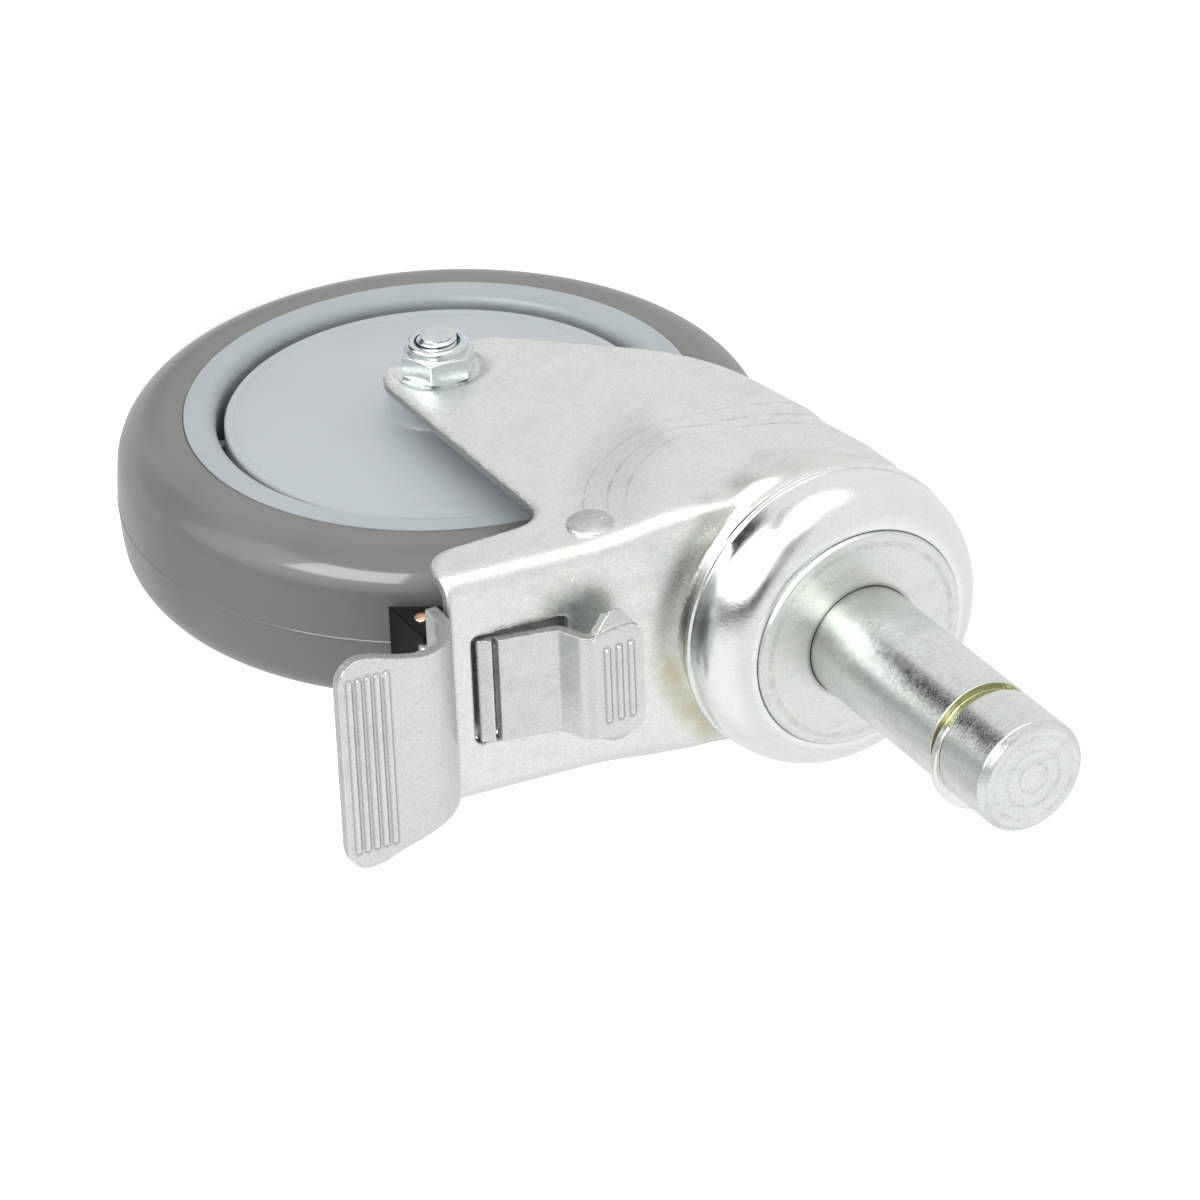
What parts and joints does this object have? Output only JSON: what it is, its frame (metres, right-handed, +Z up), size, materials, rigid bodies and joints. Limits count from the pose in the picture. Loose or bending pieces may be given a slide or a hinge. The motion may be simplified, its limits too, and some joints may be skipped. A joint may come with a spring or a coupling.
{
  "type": "swivel stem caster",
  "caption": "Swivel caster with a grip-ring stem, an offset sheet-steel fork, a soft tyre on a plastic core, and a foot-pedal wheel brake with a release tab.",
  "frame": {"origin": "on the swivel axis, at the stem's shoulder where it meets the furniture", "axes": "+Z up along the stem, +X towards the trailing side and the brake pedal, Y along the axle; +Y is the bolt head's side"},
  "size_m": [0.132, 0.0611, 0.218],
  "materials": {
    "zinc_stem": "zinc plated, satin, turned marks",
    "zinc_bright": "zinc plated, bright pressed sheet",
    "zinc_dull": "zinc plated, satin",
    "zinc_fork": "zinc plated, fine mottled grain",
    "zinc_fastener": "zinc plated, bright, slightly blue",
    "zinc_pedal": "zinc plated, dull",
    "ball_steel": "polished bearing steel",
    "spring_steel": "plain spring steel",
    "nylon": "dark nylon",
    "copper_rivet": "copper plated",
    "tyre_rubber": "semi-gloss thermoplastic rubber",
    "core_plastic": "satin moulded plastic, light blue-grey",
    "guard_plastic": "satin moulded plastic, light blue-grey",
    "shoe_plastic": "black moulded plastic"
  },
  "bodies": {
    "stem": {"stem_post": "zinc_stem", "grip_ring": "zinc_bright", "stem_collar": "zinc_dull", "top_cap": "zinc_bright", "lower_race_cup": "zinc_dull"},
    "upper_ball_ring": {"upper_swivel_balls": "ball_steel"},
    "lower_ball_ring": {"lower_swivel_balls": "ball_steel"},
    "fork": {"fork": "zinc_fork", "axle_bolt": "zinc_fastener", "lock_nut": "zinc_fastener", "nylon_insert": "nylon", "axle_sleeve": "ball_steel", "pivot_rivet": "zinc_dull", "arm_spring": "spring_steel", "thread_guard_left": "guard_plastic", "thread_guard_right": "guard_plastic", "bearing_inner_race_left": "ball_steel", "bearing_inner_race_right": "ball_steel"},
    "wheel": {"tyre": "tyre_rubber", "wheel_core": "core_plastic", "bearing_outer_race_left": "ball_steel", "bearing_outer_race_right": "ball_steel"},
    "wheel_ball_sets": {"bearing_balls_left": "ball_steel", "bearing_balls_right": "ball_steel", "bearing_cage_left": "spring_steel", "bearing_cage_right": "spring_steel"},
    "pedal": {"brake_pedal": "zinc_pedal", "release_tab": "zinc_pedal"},
    "brake_lever": {"brake_arm": "zinc_dull", "brake_shoe": "shoe_plastic", "shoe_pin": "copper_rivet"}
  },
  "joints": [
    {"name": "swivel", "type": "hinge", "parent": "stem", "child": "fork", "pos_m": [0, 0, 0], "axis": [0, 0, 1], "continuous": true},
    {"name": "upper_ball_roll", "type": "hinge", "parent": "stem", "child": "upper_ball_ring", "pos_m": [0, 0, -0.00975], "axis": [0, 0, 1], "continuous": true},
    {"name": "lower_ball_roll", "type": "hinge", "parent": "stem", "child": "lower_ball_ring", "pos_m": [0, 0, -0.0173], "axis": [0, 0, 1], "continuous": true},
    {"name": "wheel_spin", "type": "hinge", "parent": "fork", "child": "wheel", "pos_m": [0.0345, 0, -0.0974], "axis": [0, 1, 0], "continuous": true},
    {"name": "wheel_ball_roll", "type": "hinge", "parent": "fork", "child": "wheel_ball_sets", "pos_m": [0.0345, 0, -0.0974], "axis": [0, 1, 0], "continuous": true},
    {"name": "brake_pedal_rock", "type": "hinge", "parent": "fork", "child": "pedal", "pos_m": [0.0711, 0, -0.0248], "axis": [0, 1, 0], "range_deg": [0, 15]},
    {"name": "brake_arm_swing", "type": "hinge", "parent": "fork", "child": "brake_lever", "pos_m": [0.0403, 0, -0.0284], "axis": [0, 1, 0], "range_deg": [0, 2.48]}
  ],
  "couplings": [
    {"joint": "upper_ball_roll", "follows": "swivel", "ratio": 0.5},
    {"joint": "lower_ball_roll", "follows": "swivel", "ratio": 0.5},
    {"joint": "wheel_ball_roll", "follows": "wheel_spin", "ratio": 0.6},
    {"joint": "brake_arm_swing", "follows": "brake_pedal_rock", "ratio": 0.165}
  ]
}
